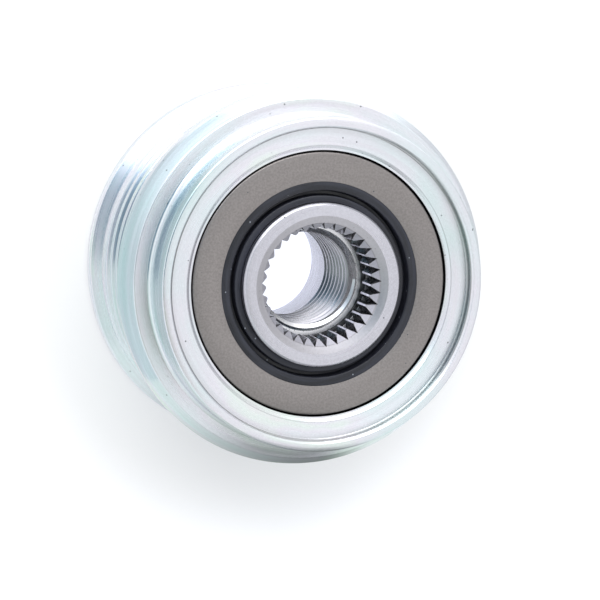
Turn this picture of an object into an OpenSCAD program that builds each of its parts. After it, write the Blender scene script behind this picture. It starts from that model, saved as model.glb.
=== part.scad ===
// Freewheel pulley for an alternator: a grooved steel rim that drives its hub one way and
// runs free of it the other way. Axis along +Z, rear face at z = 0, open front face up.

/* [Tool serration] */
// Teeth of the serration
tooth_count = 33; // [30:1:36]
// Diameter over the tooth tips
tooth_tip_d = 16.9; // [16.7:0.1:17.2]
// Depth of the tooth gaps
tooth_depth = 1.12; // [0.9:0.01:1.2]
// Width of a tooth's tip
tooth_tip_w = 0.3; // [0.1:0.05:0.5]
// Angle of the first tooth gap round the axis
tooth_turn = 3.85; // [0:0.05:10]
// Reach of the tooth gaps into the dished front face
tooth_runout = 0.1; // [0.05:0.05:0.2]
// Angle of the lead-in on the tooth tips against the front face
lead_in_angle = 54; // [45:1:58]
// Clearance of the run-out groove behind the teeth
runout_gap = 0.13; // [0.1:0.01:0.3]
// Width of the run-out groove
runout_w = 1.6; // [1:0.1:2]

/* [Hub] */
// Width of the dished ring round the socket
dish_w = 1.08; // [0.9:0.02:1.2]
// Angle of the dish against the front face
dish_angle = 22; // [16:1:28]
// Width of the flat ring on the hub's front face
hub_face_w = 1.95; // [1.8:0.05:2.1]
// Height of the hub's front face above the front seal's plate
hub_proud = 1.15; // [0.8:0.05:1.4]
// Distance of the hub's rear face in front of the rim's rear face
hub_inset = 1.1; // [0.8:0.1:1.1]
// Diameter of the pilot bore that slides over the shaft
pilot_d = 17; // [16.6:0.1:17.4]
// Length of the pilot bore
pilot_len = 10.8; // [9:0.1:12]
// Minor diameter of the fastening thread
thread_minor_d = 14.38; // [13.8:0.02:14.8]
// Length of the thread's full part
thread_len = 11.8; // [10:0.1:12.5]
// Width of the thread's countersink
countersink_w = 0.91; // [0.8:0.01:1.1]
// Depth of the countersink
countersink_depth = 1.3; // [1:0.1:1.6]
// Chamfer on the hub's outer edges
hub_chamfer = 0.3; // [0.1:0.05:0.4]
// Chamfer at the rear mouth of the pilot bore
pilot_chamfer = 0.5; // [0.2:0.05:0.8]

/* [Support bearings] */
// Diameter of a needle roller
needle_d = 3.56; // [3.3:0.02:3.7]
// Length of a needle roller
needle_len = 4.3; // [3.8:0.1:4.7]
// Needle rollers in a row
needle_count = 14; // [10:1:15]
// Width of a needle cage
needle_cage_w = 6.1; // [5.8:0.1:6.3]
// Radial gap between a needle and each raceway
needle_gap = 0.02; // [0.01:0.01:0.04]
// Edge chamfer of a roller
roller_chamfer = 0.25; // [0.1:0.05:0.3]
// Gap round a roller in its pocket
pocket_gap = 0.08; // [0.05:0.01:0.12]
// Radial gap between a cage and the raceways
cage_gap = 0.35; // [0.3:0.05:0.45]
// Axial running gap beside a needle cage
axial_gap = 0.1; // [0.08:0.01:0.15]

/* [Roller clutch] */
// Diameter of a locking roller
lock_roller_d = 2.5; // [2.3:0.02:2.6]
// Length of a locking roller
lock_roller_len = 5.2; // [4.6:0.1:5.4]
// Locking rollers, and ramps on the ramp sleeve
lock_count = 12; // [10:1:12]
// Length of the ramp sleeve and of the clutch cage
clutch_w = 6.8; // [6.6:0.1:7]
// Angle at which a locked roller sits on its ramp
wedge_angle = 6; // [5.6:0.2:6.4]
// Turn of the rollers from locked to free
release_angle = 2; // [1:0.1:2.2]
// Gap between a locked roller and its running faces
lock_gap = 0.01; // [0.01:0.01:0.03]
// Width of the cage's bar between two rollers
lock_bar_w = 2; // [1.6:0.1:2.4]
// Thickness of a leaf spring
spring_t = 0.2; // [0.15:0.05:0.25]
// Gap between a spring and a freed roller
spring_gap = 0.35; // [0.3:0.05:0.5]
// Thickness of the thrust discs
disc_t = 0.8; // [0.6:0.1:0.9]

/* [Outer sleeve] */
// Wall of the drawn sleeve
sleeve_wall = 1.9; // [1.5:0.1:2.1]
// Thickness of the sleeve's turned-in lips
sleeve_lip_t = 1.2; // [1:0.1:1.3]
// Gap between a lip and the hub
sleeve_lip_gap = 0.8; // [0.5:0.1:1]
// Outer rounding of the sleeve's ends
sleeve_edge_r = 0.8; // [0.3:0.1:1]
// Gap between the sleeve's ends and the shoulders of the seal seats
sleeve_seat_gap = 0.2; // [0.1:0.05:0.3]

/* [Seals] */
// Step from the rim's bore out to the seat of a seal
seal_step = 2.15; // [1.9:0.05:2.4]
// Thickness of a carrier's plate
seal_plate_t = 1.2; // [1:0.1:1.3]
// Wall of a carrier's rolled rim
seal_rim_t = 1.1; // [0.8:0.1:1.4]
// Rounding of a carrier's outer edge
seal_edge_r = 0.25; // [0.1:0.05:0.35]
// Depth of a seal's rubber behind its plate's outer face
seal_depth = 2.7; // [2.4:0.1:2.8]
// Running gap between the rubber lip and the hub
lip_gap = 0.05; // [0.03:0.01:0.08]
// Width of the rubber lip
lip_w = 0.98; // [0.8:0.02:1.1]
// Width of the deep groove in the rubber
rubber_groove_w = 0.76; // [0.6:0.02:0.9]
// Width of the rubber between the groove and the plate
rubber_w = 1.34; // [1.1:0.02:1.5]
// Thickness of the rubber at the bottom of its groove
rubber_web_t = 0.7; // [0.5:0.05:0.9]
// Distance of the rubber lip's front below the plate
lip_sink = 0.3; // [0.1:0.05:0.5]
// Hollow behind the lip's running edge
lip_hollow = 0.3; // [0.2:0.05:0.4]
// Width of the lip's running edge
lip_edge_w = 0.4; // [0.3:0.05:0.5]
// Reach of the rubber behind the plate
rubber_clamp_w = 0.9; // [0.6:0.1:1.2]
// Thickness of the rubber behind the plate
rubber_clamp_t = 0.5; // [0.3:0.05:0.6]
// Rounding of the rubber's edges
rubber_edge_r = 0.2; // [0.1:0.05:0.25]
// Distance of the rear seal's plate from the rim's rear face
rear_seal_sink = 1.2; // [1:0.1:1.4]
// Room between the rear seal and the sleeve
rear_seal_gap = 0.3; // [0.2:0.05:0.5]
// Room between the front seal and the sleeve
front_seal_gap = 1; // [0.6:0.1:1.4]

/* [Front recess] */
// Distance of the front seal's plate below the recess floor
seal_sink = 0.55; // [0.5:0.05:0.7]
// Widening of the front seal's seat at its mouth
seal_mouth_gap = 0.1; // [0.05:0.05:0.2]
// Depth of that widening
seal_mouth_depth = 0.5; // [0.3:0.05:0.7]
// Width of the bright land round the front seal
seal_land_w = 0.45; // [0.3:0.05:0.6]
// Depth of that land below the recess floor
seal_land_drop = 0.4; // [0.2:0.05:0.45]
// Width of the recess outside the seal's seat
recess_w = 3.65; // [3.2:0.05:4]
// Distance of the cap's snap groove above the recess floor
cap_groove_lift = 0.3; // [0.2:0.05:0.4]
// Width of the cap's snap groove
cap_groove_w = 1.1; // [0.8:0.1:1.3]
// Depth of the cap's snap groove in the recess wall
cap_groove_depth = 0.4; // [0.2:0.05:0.5]
// Width of the lip in front of the snap groove
cap_lip_w = 0.2; // [0.1:0.05:0.4]
// Chamfer at the mouth of the recess
recess_chamfer = 0.35; // [0.1:0.05:0.5]

/* [Collar and flanges] */
// Wall of the collar round the recess
collar_wall = 1.6; // [1.4:0.05:2]
// Rounding of the collar's front edge
collar_edge_r = 0.3; // [0.1:0.05:0.4]
// Fillet between the front flange and the collar
collar_fillet_r = 0.65; // [0.3:0.05:0.9]
// Height of both flanges above the collar
flange_step = 4; // [3.4:0.1:4.6]
// Height of both flanges above the rib crests
flange_h = 1.35; // [1:0.05:1.8]
// Width of the rear flange at its rim
rear_flange_w = 2.05; // [1.6:0.05:2.4]
// Rounding of the rear flange's edges
rear_edge_r = 0.45; // [0.2:0.05:0.6]
// Width of the front flange's cylindrical land
front_land_w = 1.87; // [1.4:0.1:2.4]
// Width of the slight taper in front of the land
front_taper_w = 0.9; // [0.5:0.1:1.2]
// Drop in radius over the slight taper
front_taper_drop = 0.2; // [0.1:0.05:0.3]
// Width of the front flange's cone
front_cone_w = 2.35; // [1.8:0.1:2.8]
// Drop in radius over the cone
front_cone_drop = 1.25; // [0.8:0.1:1.6]
// Rounding between the cone and the front shoulder
shoulder_edge_r = 0.25; // [0.1:0.05:0.35]
// Dishing of the shoulder from its outer edge to the collar
shoulder_dish = 0.15; // [0.05:0.05:0.2]

/* [Belt track] */
// Distance from one groove to the next
groove_pitch = 3.56; // [3.4:0.02:3.8]
// Angle between the two flanks of a groove
groove_angle = 40; // [36:1:42]
// Width of a groove at its floor
groove_floor_w = 0.35; // [0.3:0.05:0.5]
// Width of a rib at its crest
rib_w = 1.1; // [0.8:0.05:1.2]
// Grooves in the front row
row_grooves = 4; // [3:1:4]
// Width of the broad rib behind the front row
broad_rib_w = 3.1; // [2:0.1:3.6]
// Rounding of a rib's crest edges
rib_edge_r = 0.2; // [0.1:0.05:0.3]
// Rounding at the bottom of a groove
groove_floor_r = 0.15; // [0.1:0.05:0.2]

/* [Hidden] */
$fn = 144;

// Steps in which a rounded corner is drawn
corner_steps = 4;
// Overlap that a cutting shape gets past the face that it cuts
cut = 1;

// Radii, from the socket outwards
tip_r = tooth_tip_d / 2;
root_r = tip_r + tooth_depth;
lead_in_r = root_r - tooth_runout;
dish_r = lead_in_r + dish_w;
hub_r = dish_r + hub_face_w;
raceway_r = hub_r + needle_d + 2 * needle_gap;
sleeve_r = raceway_r + sleeve_wall;
cage_inner_r = hub_r + cage_gap;
cage_outer_r = raceway_r - cage_gap;
lip_r = hub_r + lip_gap;
rubber_groove_r = lip_r + lip_w;
rubber_wall_r = rubber_groove_r + rubber_groove_w;
plate_r = rubber_wall_r + rubber_w;
seal_r = sleeve_r + seal_step;
recess_r = seal_r + recess_w;
collar_r = recess_r + collar_wall;
flange_r = collar_r + flange_step;
crest_r = flange_r - flange_h;

// Seals, sleeve and rows along the axis, from the rear
rear_plate_z = rear_seal_sink;
row_space = clutch_w + 2 * disc_t + 2 * needle_cage_w + 4 * axial_gap;
sleeve_len = row_space + 2 * sleeve_lip_t;
sleeve_rear_z = rear_plate_z + seal_depth + rear_seal_gap;
sleeve_front_z = sleeve_rear_z + sleeve_len;
rear_seat_z = sleeve_rear_z - sleeve_seat_gap;
front_seat_z = sleeve_front_z + sleeve_seat_gap;
middle_z = (sleeve_rear_z + sleeve_front_z) / 2;
clutch_z = middle_z - clutch_w / 2;
front_cage_z = clutch_z + clutch_w + disc_t + axial_gap;
rear_cage_z = clutch_z - disc_t - axial_gap - needle_cage_w;
front_plate_z = sleeve_front_z + front_seal_gap + seal_depth;

// Front recess along the axis
recess_z = front_plate_z + seal_sink;
seal_land_z = recess_z - seal_land_drop;
cap_groove_z = recess_z + cap_groove_lift;
cap_groove_end_z = cap_groove_z + cap_groove_w;
rim_z = cap_groove_end_z + cap_lip_w + recess_chamfer;

// Belt track and front flange along the axis, from the rear
flank_slope = tan(groove_angle / 2);
flank_rise = flange_h * flank_slope;
groove_w = groove_pitch - rib_w;
groove_inset = (groove_w - groove_floor_w) / 2;
groove_bottom_r = crest_r - groove_inset / flank_slope;
rear_groove_z = rear_flange_w + flank_rise;
front_row_z = rear_groove_z + groove_w + broad_rib_w;
track_end_z = front_row_z + row_grooves * groove_pitch - rib_w;
land_z = track_end_z + flank_rise;
taper_z = land_z + front_land_w;
cone_z = taper_z + front_taper_w;
shoulder_z = cone_z + front_cone_w;
collar_z = shoulder_z - shoulder_dish;

// Hub along the axis
hub_z = hub_inset;
hub_front_z = front_plate_z + hub_proud;
thread_z = hub_z + pilot_len;
countersink_z = thread_z + thread_len;
socket_z = countersink_z + countersink_depth;
teeth_z = socket_z + runout_w;
lead_in_z = hub_front_z - dish_w * tan(dish_angle);
tip_z = lead_in_z - (lead_in_r - tip_r) * tan(lead_in_angle);

// Roller clutch round the axis
lock_roller_r = lock_roller_d / 2;
lock_centre_r = raceway_r - lock_gap - lock_roller_r;
ramp_flat_r = lock_centre_r * cos(wedge_angle) - lock_roller_r - lock_gap;
ramp_corner_r = ramp_flat_r / cos(180 / lock_count);
lock_step = 360 / lock_count;
lock_room_start = -wedge_angle - asin((lock_roller_r + pocket_gap) / lock_centre_r);
lock_room_end = lock_room_start + lock_step - 2 * asin(lock_bar_w / 2 / lock_centre_r);

function unit(v) = v / norm(v);

// Points of the arc that rounds corner b, between its neighbours a and c
function corner_arc(a, b, c, r) =
    r == 0 ? [b] :
    let (
        to_a = unit(a - b),
        to_c = unit(c - b),
        half = acos(to_a * to_c) / 2,
        centre = b + unit(to_a + to_c) * r / sin(half),
        first = b + to_a * r / tan(half) - centre,
        last = b + to_c * r / tan(half) - centre,
        start = atan2(first[1], first[0]),
        sweep = (atan2(last[1], last[0]) - start + 540) % 360 - 180
    )
    [for (i = [0:corner_steps]) centre + polar(r, start + sweep * i / corner_steps)];

function polar(r, a) = [r * cos(a), r * sin(a)];

function xy(p) = [p[0], p[1]];

// Outline from corners given as [radius, height, rounding]
function rounded(corners) =
    let (n = len(corners))
    [
        for (i = [0:n - 1])
            each corner_arc(xy(corners[(i + n - 1) % n]), xy(corners[i]), xy(corners[(i + 1) % n]),
                len(corners[i]) > 2 ? corners[i][2] : 0)
    ];

module turned(corners) {
    rotate_extrude(convexity = 12) polygon(rounded(corners));
}

module ring(outer_r, inner_r, z, h) {
    translate([0, 0, z]) difference() {
        cylinder(r = outer_r, h = h);
        translate([0, 0, -cut]) cylinder(r = inner_r, h = h + 2 * cut);
    }
}

// One belt groove that starts at height z, from its rear crest edge to its front one
function groove_corners(z) = [
    [crest_r, z, rib_edge_r],
    [groove_bottom_r, z + groove_inset, groove_floor_r],
    [groove_bottom_r, z + groove_w - groove_inset, groove_floor_r],
    [crest_r, z + groove_w, rib_edge_r]
];

// The rear flange's inner flank runs straight on into the first groove
function rear_groove_corners() = [
    for (p = groove_corners(rear_groove_z)) if (p[1] > rear_groove_z) p
];

function front_row_corners() = [
    for (i = [0:row_grooves - 1])
        for (p = groove_corners(front_row_z + i * groove_pitch))
            if (i < row_grooves - 1 || p[1] < track_end_z - rib_edge_r) p
];

function pulley_corners() = concat(
    [
        [seal_r + rear_edge_r, 0],
        [flange_r, 0, rear_edge_r],
        [flange_r, rear_flange_w, rear_edge_r]
    ],
    rear_groove_corners(),
    front_row_corners(),
    [
        [flange_r, land_z, rib_edge_r],
        [flange_r, taper_z],
        [flange_r - front_taper_drop, cone_z, rib_edge_r],
        [flange_r - front_taper_drop - front_cone_drop, shoulder_z, shoulder_edge_r],
        [collar_r, collar_z, collar_fillet_r],
        [collar_r, rim_z, collar_edge_r],
        [recess_r + recess_chamfer, rim_z],
        [recess_r, rim_z - recess_chamfer],
        [recess_r, cap_groove_end_z],
        [recess_r + cap_groove_depth, cap_groove_end_z],
        [recess_r + cap_groove_depth, cap_groove_z],
        [recess_r, cap_groove_z],
        [recess_r, recess_z, cap_groove_lift / 2],
        [seal_r + seal_mouth_gap + seal_land_w + seal_land_drop, recess_z],
        [seal_r + seal_mouth_gap + seal_land_w, seal_land_z],
        [seal_r + seal_mouth_gap, seal_land_z],
        [seal_r + seal_mouth_gap, front_plate_z - seal_mouth_depth],
        [seal_r, front_plate_z - seal_mouth_depth - seal_mouth_gap],
        [seal_r, front_seat_z],
        [sleeve_r, front_seat_z],
        [sleeve_r, rear_seat_z],
        [seal_r, rear_seat_z],
        [seal_r, rear_edge_r]
    ]
);

module pulley_rim() {
    color([0.74, 0.77, 0.80]) turned(pulley_corners());
}

// Drawn sleeve with a lip turned in at each end, which keeps the rows in
module outer_sleeve() {
    edge_r = hub_r + sleeve_lip_gap;
    round_r = sleeve_lip_t / 3;
    color([0.62, 0.63, 0.65]) turned([
        [edge_r, sleeve_rear_z, round_r],
        [sleeve_r, sleeve_rear_z, sleeve_edge_r],
        [sleeve_r, sleeve_front_z, sleeve_edge_r],
        [edge_r, sleeve_front_z, round_r],
        [edge_r, sleeve_front_z - sleeve_lip_t, round_r],
        [raceway_r, sleeve_front_z - sleeve_lip_t],
        [raceway_r, sleeve_rear_z + sleeve_lip_t],
        [edge_r, sleeve_rear_z + sleeve_lip_t, round_r]
    ]);
}

// The hub before its teeth are cut: the socket's wall stands at the tooth tips
module hub_blank() {
    thread_r = thread_minor_d / 2;
    pilot_r = pilot_d / 2;
    turned([
        [pilot_r + pilot_chamfer, hub_z],
        [hub_r - hub_chamfer, hub_z],
        [hub_r, hub_z + hub_chamfer],
        [hub_r, hub_front_z - hub_chamfer],
        [hub_r - hub_chamfer, hub_front_z],
        [dish_r, hub_front_z],
        [lead_in_r, lead_in_z],
        [tip_r, tip_z],
        [tip_r, teeth_z],
        [root_r + runout_gap, teeth_z],
        [root_r + runout_gap, socket_z],
        [thread_r + countersink_w, socket_z],
        [thread_r, countersink_z],
        [thread_r, thread_z],
        [pilot_r, thread_z],
        [pilot_r, hub_z + pilot_chamfer]
    ]);
}

// The tooth gaps as one star-shaped cutter, whose flanks run on a little inside the tooth tips
module tooth_gaps() {
    overrun = 1.1;
    half_gap = 180 / tooth_count - asin(tooth_tip_w / tooth_tip_d);
    translate([0, 0, teeth_z - runout_w / 2])
        linear_extrude(height = hub_front_z + cut - teeth_z + runout_w / 2, convexity = 10)
            polygon([
                for (i = [0:tooth_count - 1])
                    let (
                        a = tooth_turn + i * 360 / tooth_count,
                        root = polar(root_r, a)
                    )
                    each [
                        root + (polar(tip_r, a - half_gap) - root) * overrun,
                        root,
                        root + (polar(tip_r, a + half_gap) - root) * overrun
                    ]
            ]);
}

module inner_ring() {
    color([0.78, 0.77, 0.82]) difference() {
        hub_blank();
        tooth_gaps();
    }
}

// Sleeve pressed on the hub, with one flat ramp under each locking roller
module ramp_sleeve() {
    color([0.56, 0.57, 0.60]) translate([0, 0, clutch_z]) difference() {
        linear_extrude(height = clutch_w)
            polygon([for (i = [0:lock_count - 1]) polar(ramp_corner_r, (i + 0.5) * lock_step)]);
        translate([0, 0, -cut]) cylinder(r = hub_r, h = clutch_w + 2 * cut);
    }
}

// A roller standing on z = 0, with chamfered ends
module roller(d, len) {
    r = d / 2;
    c = roller_chamfer;
    rotate_extrude() polygon([[0, 0], [r - c, 0], [r, c], [r, len - c], [r - c, len], [0, len]]);
}

// Locked rollers sit on the clockwise half of each ramp and turn the other way to run free
module clutch_rollers() {
    color([0.70, 0.71, 0.73])
        for (i = [0:lock_count - 1])
            rotate([0, 0, i * lock_step - wedge_angle])
                translate([lock_centre_r, 0, clutch_z + (clutch_w - lock_roller_len) / 2])
                    roller(lock_roller_d, lock_roller_len);
}

// Room of a locking roller: from its locked side to the bar that carries its spring
module lock_room() {
    far = raceway_r + cut;
    polygon([
        [0, 0],
        polar(far, lock_room_start),
        polar(far * 1.1, (lock_room_start + lock_room_end) / 2),
        polar(far, lock_room_end)
    ]);
}

// Plastic cage that stands on the ramp sleeve's corners and keeps the rollers apart
module clutch_cage() {
    room_h = lock_roller_len + 2 * pocket_gap;
    inner_corner_r = ramp_corner_r + lock_gap;
    color([0.30, 0.31, 0.30]) difference() {
        translate([0, 0, clutch_z]) cylinder(r = cage_outer_r, h = clutch_w);
        translate([0, 0, clutch_z - cut]) linear_extrude(height = clutch_w + 2 * cut)
            polygon([for (i = [0:lock_count - 1]) polar(inner_corner_r, (i + 0.5) * lock_step)]);
        translate([0, 0, clutch_z + (clutch_w - room_h) / 2])
            for (i = [0:lock_count - 1])
                rotate([0, 0, i * lock_step]) linear_extrude(height = room_h) lock_room();
    }
}

// Folded leaf spring: one leg lies on the cage's bar, the other reaches for the roller
module leaf_spring() {
    h = 0.8 * lock_roller_len;
    side_gap = 0.02;
    low_r = ramp_corner_r + spring_t;
    high_r = cage_outer_r - spring_t / 2;
    freed_side = lock_centre_r * sin(release_angle - wedge_angle) + lock_roller_r;
    reach = lock_centre_r * sin(lock_room_end) - freed_side - spring_gap;
    translate([0, 0, clutch_z + (clutch_w - h) / 2])
        rotate([0, 0, lock_room_end])
            linear_extrude(height = h)
                polygon([
                    [low_r, -side_gap],
                    [high_r, -side_gap],
                    [high_r, -side_gap - spring_t],
                    [low_r + 3 * spring_t, -side_gap - spring_t],
                    [high_r, -reach],
                    [high_r - spring_t, -reach - spring_t],
                    [low_r, -side_gap - 2 * spring_t]
                ]);
}

module clutch_springs() {
    color([0.80, 0.72, 0.45])
        for (i = [0:lock_count - 1]) rotate([0, 0, i * lock_step]) leaf_spring();
}

module thrust_disc(z) {
    color([0.66, 0.66, 0.68]) ring(cage_outer_r, hub_r, z, disc_t);
}

module front_thrust_disc() {
    thrust_disc(clutch_z + clutch_w);
}

module rear_thrust_disc() {
    thrust_disc(clutch_z - disc_t);
}

module bearing_cage(z) {
    pocket_w = needle_d + 2 * pocket_gap;
    pocket_h = needle_len + 2 * pocket_gap;
    color([0.36, 0.42, 0.36]) difference() {
        ring(cage_outer_r, cage_inner_r, z, needle_cage_w);
        for (i = [0:needle_count - 1])
            rotate([0, 0, i * 360 / needle_count])
                translate([hub_r, -pocket_w / 2, z + (needle_cage_w - pocket_h) / 2])
                    cube([raceway_r - hub_r, pocket_w, pocket_h]);
    }
}

module bearing_rollers(z) {
    color([0.72, 0.73, 0.75])
        for (i = [0:needle_count - 1])
            rotate([0, 0, i * 360 / needle_count])
                translate([(hub_r + raceway_r) / 2, 0, z + (needle_cage_w - needle_len) / 2])
                    roller(needle_d, needle_len);
}

module front_bearing_cage() {
    bearing_cage(front_cage_z);
}

module front_bearing_rollers() {
    bearing_rollers(front_cage_z);
}

module rear_bearing_cage() {
    bearing_cage(rear_cage_z);
}

module rear_bearing_rollers() {
    bearing_rollers(rear_cage_z);
}

// Pressed steel ring: a flat plate with its outer edge rolled back into the rim's seat.
// Heights are measured inwards from the plate's outer face.
module seal_carrier(rim_len) {
    turned([
        [plate_r, 0],
        [seal_r, 0, seal_edge_r],
        [seal_r, rim_len],
        [seal_r - seal_rim_t, rim_len],
        [seal_r - seal_rim_t, seal_plate_t, seal_edge_r],
        [plate_r, seal_plate_t]
    ]);
}

// Rubber moulded on the plate's inner edge, with a deep groove in front of its lip
module seal_lip() {
    floor_z = seal_depth - rubber_web_t;
    turned([
        [plate_r, 0],
        [plate_r, seal_plate_t],
        [plate_r + rubber_clamp_w, seal_plate_t],
        [plate_r + rubber_clamp_w, seal_plate_t + rubber_clamp_t, rubber_edge_r],
        [rubber_wall_r, seal_depth, rubber_edge_r],
        [rubber_groove_r, seal_depth, rubber_edge_r],
        [lip_r, seal_depth - rubber_web_t / 2, rubber_edge_r / 2],
        [lip_r + lip_hollow, seal_depth - 2 * rubber_web_t],
        [lip_r, lip_sink + lip_edge_w, rubber_edge_r / 2],
        [lip_r, lip_sink, rubber_edge_r / 2],
        [rubber_groove_r, lip_sink, rubber_edge_r],
        [rubber_groove_r, floor_z, rubber_edge_r],
        [rubber_wall_r, floor_z, rubber_edge_r],
        [rubber_wall_r, 0, rubber_edge_r]
    ]);
}

module at_front() {
    translate([0, 0, front_plate_z]) mirror([0, 0, 1]) children();
}

module at_rear() {
    translate([0, 0, rear_plate_z]) children();
}

module front_seal_carrier() {
    color([0.52, 0.51, 0.49]) at_front() seal_carrier(front_plate_z - front_seat_z - axial_gap);
}

module front_seal_lip() {
    color([0.12, 0.14, 0.17]) at_front() seal_lip();
}

module rear_seal_carrier() {
    color([0.52, 0.51, 0.49]) at_rear() seal_carrier(rear_seat_z - rear_plate_z - axial_gap);
}

module rear_seal_lip() {
    color([0.12, 0.14, 0.17]) at_rear() seal_lip();
}

pulley_rim();
outer_sleeve();
inner_ring();
ramp_sleeve();
clutch_rollers();
clutch_cage();
clutch_springs();
front_thrust_disc();
rear_thrust_disc();
front_bearing_cage();
front_bearing_rollers();
rear_bearing_cage();
rear_bearing_rollers();
front_seal_carrier();
front_seal_lip();
rear_seal_carrier();
rear_seal_lip();
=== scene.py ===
# %% [markdown]
# A freewheel pulley from an alternator, seen from the front and a little from the side. The
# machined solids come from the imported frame. This script dresses them: it turns finer copies of
# the visible pieces, cuts the fine thread, and gives every surface its finish. The pieces that
# are hidden inside keep their solids and only get a material.

import math

import bmesh
import bpy
from mathutils import Matrix, Vector


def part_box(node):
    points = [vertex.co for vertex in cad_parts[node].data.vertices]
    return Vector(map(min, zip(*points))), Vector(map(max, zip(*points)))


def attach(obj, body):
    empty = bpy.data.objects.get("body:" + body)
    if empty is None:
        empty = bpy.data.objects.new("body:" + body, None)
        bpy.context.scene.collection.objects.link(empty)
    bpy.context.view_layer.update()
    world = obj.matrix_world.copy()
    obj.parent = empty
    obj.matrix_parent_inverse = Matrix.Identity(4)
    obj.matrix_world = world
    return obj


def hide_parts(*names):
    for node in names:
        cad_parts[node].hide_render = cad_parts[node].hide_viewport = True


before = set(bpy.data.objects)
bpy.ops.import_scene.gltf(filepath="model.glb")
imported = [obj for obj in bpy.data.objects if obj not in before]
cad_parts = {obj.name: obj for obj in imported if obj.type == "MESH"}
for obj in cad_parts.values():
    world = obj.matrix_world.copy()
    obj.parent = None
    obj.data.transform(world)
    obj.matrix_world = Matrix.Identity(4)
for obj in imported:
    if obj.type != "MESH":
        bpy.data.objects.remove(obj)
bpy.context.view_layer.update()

# %% [markdown]
# Every size below is in millimetres and is scaled once, when a mesh is made. The main heights
# are read from the frame, so a piece can't drift away from the solid that it dresses.

# %% Sizes
MM = 0.001
rim_low, rim_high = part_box("pulley_rim")
hub_low, hub_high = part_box("inner_ring")
front_plate_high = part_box("front_seal_carrier")[1].z / MM
front_plate_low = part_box("front_seal_carrier")[0].z / MM
rear_plate_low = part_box("rear_seal_carrier")[0].z / MM
rear_plate_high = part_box("rear_seal_carrier")[1].z / MM

flange_r = rim_high.x / MM
rim_top = rim_high.z / MM
hub_r = hub_high.x / MM
hub_top = hub_high.z / MM
hub_bottom = hub_low.z / MM
seal_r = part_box("front_seal_carrier")[1].x / MM
print(f"flange radius {flange_r:.2f}, rim height {rim_top:.2f}")
print(f"hub from {hub_bottom:.2f} to {hub_top:.2f}, seal radius {seal_r:.2f}")

# %% [markdown]
# Turned parts have no truly sharp corners: the tool and the deburring leave a small radius that
# catches the light. A bevel on the finished mesh could round them all alike. Here the arcs are
# drawn into the outline instead, so each corner gets a rounding of its own.


# %% Rounded outlines
def corner_arc(before, corner, after, radius, steps):
    """Points of the arc that rounds a corner of an outline."""
    if radius <= 0:
        return [corner]
    to_before = (before - corner).normalized()
    to_after = (after - corner).normalized()
    half = math.acos(max(-1, min(1, to_before.dot(to_after)))) / 2
    centre = corner + (to_before + to_after).normalized() * radius / math.sin(half)
    first = corner + to_before * radius / math.tan(half) - centre
    last = corner + to_after * radius / math.tan(half) - centre
    start = math.atan2(first.y, first.x)
    sweep = (math.atan2(last.y, last.x) - start + 3 * math.pi) % (2 * math.pi) - math.pi
    turns = [start + sweep * i / steps for i in range(steps + 1)]
    return [centre + radius * Vector((math.cos(t), math.sin(t))) for t in turns]


def rounded(corners):
    """The outline with an arc at each corner. A corner is (radius, height, rounding)."""
    points = [Vector(corner[:2]) for corner in corners]
    outline = []
    for i, (_, _, rounding) in enumerate(corners):
        after = points[(i + 1) % len(points)]
        steps = 4 if rounding > 0.1 else 2
        outline += corner_arc(points[i - 1], points[i], after, rounding, steps)
    return outline


square = [(1, 0, 0.2), (2, 0, 0.2), (2, 1, 0.2), (1, 1, 0.2)]
print("a rounded square has", len(rounded(square)), "points")

# %% [markdown]
# On a lathe the work spins past the tool. In Blender the outline is drawn once beside the axis
# and a spin sweeps it round, which closes the ring without a seam. Smooth shading hides the
# facets, and only edges with a steep angle are marked sharp, so the real corners stay crisp.


# %% Turning a piece
def finish_mesh(bm, name, sharp_angle=28):
    """Gives the bmesh clean outward faces and returns it as an object in the frame."""
    bmesh.ops.remove_doubles(bm, verts=bm.verts, dist=1e-8)
    bmesh.ops.recalc_face_normals(bm, faces=bm.faces)
    limit = math.radians(sharp_angle)
    for face in bm.faces:
        face.smooth = True
    for edge in bm.edges:
        edge.smooth = edge.calc_face_angle(0) < limit
    mesh = bpy.data.meshes.new(name)
    bm.to_mesh(mesh)
    bm.free()
    piece = bpy.data.objects.new(name, mesh)
    bpy.context.scene.collection.objects.link(piece)
    return piece


def turned_bmesh(outline, segments):
    """Sweeps a closed outline once round the axis."""
    bm = bmesh.new()
    verts = [bm.verts.new((p.x * MM, 0, p.y * MM)) for p in outline]
    for i, vert in enumerate(verts):
        bm.edges.new((verts[i - 1], vert))
    bmesh.ops.spin(
        bm, geom=bm.verts[:] + bm.edges[:], cent=(0, 0, 0), axis=(0, 0, 1),
        angle=2 * math.pi, steps=segments, use_merge=True,
    )
    bmesh.ops.recalc_face_normals(bm, faces=bm.faces)
    return bm


def turn(name, corners, body, node, segments):
    """Turns a piece, lets it ride on its body and stand for its CAD node."""
    piece = finish_mesh(turned_bmesh(rounded(corners), segments), name)
    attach(piece, body)
    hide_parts(node)
    print(f"{name}: {len(piece.data.polygons)} faces")
    return piece


# %% [markdown]
# The belt runs in grooves with slanted flanks. The pulley has one groove behind a broad rib and
# a row of four in front of it. Each groove could be cut as a ring of its own, but as a part of
# the rim's outline it needs no boolean and its edges can be rounded with the rest.

# %% The belt track
crest_r = 28.05
groove_depth = 2.9
groove_pitch = 3.56
rib_w = 1.1
rear_groove_z = 2.541
front_row_z = 8.101
row_grooves = 4
flank_slope = math.tan(math.radians(20))
groove_w = groove_pitch - rib_w


def groove(z):
    """A belt groove from its rear crest edge to its front one."""
    inset = groove_depth * flank_slope
    floor_r = crest_r - groove_depth
    return [
        (crest_r, z, 0.2),
        (floor_r, z + inset, 0.15),
        (floor_r, z + groove_w - inset, 0.15),
        (crest_r, z + groove_w, 0.2),
    ]


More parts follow.
